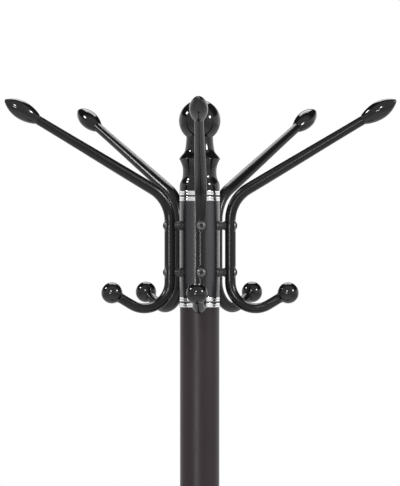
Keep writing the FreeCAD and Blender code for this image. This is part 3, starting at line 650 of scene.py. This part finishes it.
def cover_mesh():
    """The spun steel cover: rolled rim, stepped bead, shallow slope, bell-shaped hub beaded at its foot."""
    rim, top, bottom = COVER_HIGH.x / MM, COVER_HIGH.z / MM, COVER_LOW.z / MM
    sheet, hub, bore = 1.2, 30.0, 9.1
    outside = (
        ((rim, 12.0), 0, 0),
        ((193.0, 18.02), 1.9, 12),
        ((186.5, 18.55), 0.1, 3),
        ((184.0, 18.75), -0.35, 6),
        ((80.5, 25.6), 1.3, 24),
        ((78.0, 26.0), -0.3, 6),
        ((32.4, 42.8), -4.6, 24),
        ((hub, top), 0.9, 8),
    )
    inside = (
        ((rim - sheet, 11.6), 0, 0),
        ((192.6, 16.8), 1.6, 12),
        ((78.0, 24.6), 1.4, 24),
        ((31.6, 41.9), -4.6, 24),
    )
    outer = [(rim - 0.4, bottom), (rim, bottom + 0.5), outside[0][0]]
    inner = [(rim - sheet, bottom + 0.3), inside[0][0]]
    for side, corners in ((outer, outside), (inner, inside)):
        for here, (end, bulge, steps) in zip(corners, corners[1:]):
            side += arc_between(here[0], end, bulge, steps)
    inner += [(29.4, top - sheet), (bore, top - sheet)]
    outline = outer + [(bore, top)] + list(reversed(inner))
    return lathe([(r * MM, z * MM) for r, z in outline], 192)


build_hooks()
piece("turned_finial", [placed(finial_mesh(), Matrix.Translation((0, 0, FINIAL_BOTTOM)))], "head", ["finial"])
build_rings()
piece("spun_cover", [cover_mesh()], "stand", ["base_cover"])

# Floor, light and camera -------------------------------------------------------------------------

VIEW_TURN = -2.5  # degrees that the camera and its lights stand round the pole from the -Y side
ROOM = 0.66  # how bright the room is, as a share of white
WALL_GLOW = 0.35  # what the wall behind the rack adds
DARK_CEILING = 0.02
WALL_TOP = (0.22, 0.34)  # heights, as sines above the horizon, where reflections see the walls end
FRONT_CEILING = (-0.30, 0.05)  # shares of the way back between which the ceiling goes from lit to dark
RIGHT_WALL = 1.3  # how much brighter the wall on the right is
RIGHT_REACH = (0.35, 0.85)  # between these shares of the way to the right it grows to that


def from_view(direction):
    """A direction given as x right, y up and z towards the camera, in the object's frame."""
    flat = Vector((direction[0], -direction[2], direction[1]))
    return Matrix.Rotation(math.radians(VIEW_TURN), 3, "Z") @ flat


def floor():
    bpy.ops.mesh.primitive_circle_add(vertices=128, radius=12.0, fill_type="NGON", location=(0, 0, 0))
    plane = bpy.context.object
    plane.name = "floor"
    s = Shader("floor_paint")
    s.colour(s.noise(2, 2), (0.86, 0.86, 0.86), (0.90, 0.90, 0.90))
    s.roughness(s.noise(8, 2), 0.8, 0.9)
    plane.data.materials.append(s.material)


def studio():
    """White to the camera, even on matt paint; reflections see pale walls and a ceiling dark at the back."""
    world = bpy.context.scene.world or bpy.data.worlds.new("studio")
    bpy.context.scene.world = world
    world.use_nodes = True
    tree = world.node_tree
    tree.nodes.clear()
    place = tree.nodes.new("ShaderNodeTexCoord")
    split = tree.nodes.new("ShaderNodeSeparateXYZ")
    tree.links.new(place.outputs["Generated"], split.inputs["Vector"])

    def ranged(source, start, end, low, high):
        made = tree.nodes.new("ShaderNodeMapRange")
        made.inputs["From Min"].default_value = start
        made.inputs["From Max"].default_value = end
        made.inputs["To Min"].default_value = low
        made.inputs["To Max"].default_value = high
        tree.links.new(source, made.inputs["Value"])
        return made.outputs["Result"]

    def joined(operation, a, b):
        made = tree.nodes.new("ShaderNodeMath")
        made.operation = operation
        tree.links.new(a, made.inputs[0])
        tree.links.new(b, made.inputs[1])
        return made.outputs["Value"]

    def towards(direction):
        made = tree.nodes.new("ShaderNodeVectorMath")
        made.operation = "DOT_PRODUCT"
        made.inputs[1].default_value = from_view(direction).normalized()
        tree.links.new(place.outputs["Generated"], made.inputs[0])
        return made.outputs["Value"]

    def backdrop(strength):
        made = tree.nodes.new("ShaderNodeBackground")
        made.inputs["Color"].default_value = (1, 1, 1, 1)
        if isinstance(strength, float):
            made.inputs["Strength"].default_value = strength
        else:
            tree.links.new(strength, made.inputs["Strength"])
        return made.outputs["Background"]

    def chosen(share, without, having):
        made = tree.nodes.new("ShaderNodeMixShader")
        tree.links.new(share, made.inputs["Fac"])
        tree.links.new(without, made.inputs[1])
        tree.links.new(having, made.inputs[2])
        return made.outputs["Shader"]

    far_wall = ranged(split.outputs["Y"], 0.3, 0.9, ROOM, ROOM + WALL_GLOW)
    walls = joined("MULTIPLY", ranged(split.outputs["Z"], *WALL_TOP, 1.0, 0.0), far_wall)
    room = joined("MAXIMUM", walls, ranged(split.outputs["Y"], *FRONT_CEILING, ROOM, DARK_CEILING))
    room = joined("MULTIPLY", room, ranged(towards((1, 0, 0)), *RIGHT_REACH, 1.0, RIGHT_WALL))
    ray = tree.nodes.new("ShaderNodeLightPath")
    seen = chosen(ray.outputs["Is Glossy Ray"], backdrop(ROOM), backdrop(room))
    out = tree.nodes.new("ShaderNodeOutputWorld")
    tree.links.new(chosen(ray.outputs["Is Camera Ray"], seen, backdrop(1.0)), out.inputs["Surface"])


def lamp(name, direction, distance, size, watts):
    """An area light of that width and height, aimed at the head."""
    data = bpy.data.lights.new(name, "AREA")
    data.shape = "RECTANGLE"
    data.size, data.size_y = size
    data.energy = watts
    made = bpy.data.objects.new(name, data)
    bpy.context.scene.collection.objects.link(made)
    towards = from_view(direction).normalized()
    made.location = Vector((0, 0, HEAD_MIDDLE)) + towards * distance
    made.rotation_euler = towards.to_track_quat("Z", "Y").to_euler()


def camera():
    """Level with the head's middle, 4.34 m in front, with a long lens."""
    data = bpy.data.cameras.new("camera")
    data.lens = 333.0
    data.clip_end = 200
    made = bpy.data.objects.new("camera", data)
    bpy.context.scene.collection.objects.link(made)
    aside = from_view((0.0003, 0, 0))
    made.location = aside + from_view((0, -0.0009, 4.34)) + Vector((0, 0, HEAD_MIDDLE))
    aim = aside + Vector((0, 0, HEAD_MIDDLE + 0.0058))
    made.rotation_euler = (aim - made.location).to_track_quat("-Z", "Y").to_euler()
    bpy.context.scene.camera = made


floor()
studio()
lamp("left_lamp", (-0.81, 0.58, 0.01), 1.5, (0.24, 0.24), 8)
lamp("front_lamp", (-0.17, 0.335, 0.92), 2.4, (0.32, 0.32), 16)
lamp("front_strip", (-0.32, -0.04, 0.95), 3.2, (0.80, 0.30), 16)
lamp("right_lamp", (0.80, 0.37, 0.46), 1.5, (0.24, 0.24), 9)
lamp("top_panel", (0.02, 0.79, -0.61), 2.2, (1.30, 1.30), 26)
camera()
bpy.context.scene.view_settings.view_transform = "Standard"
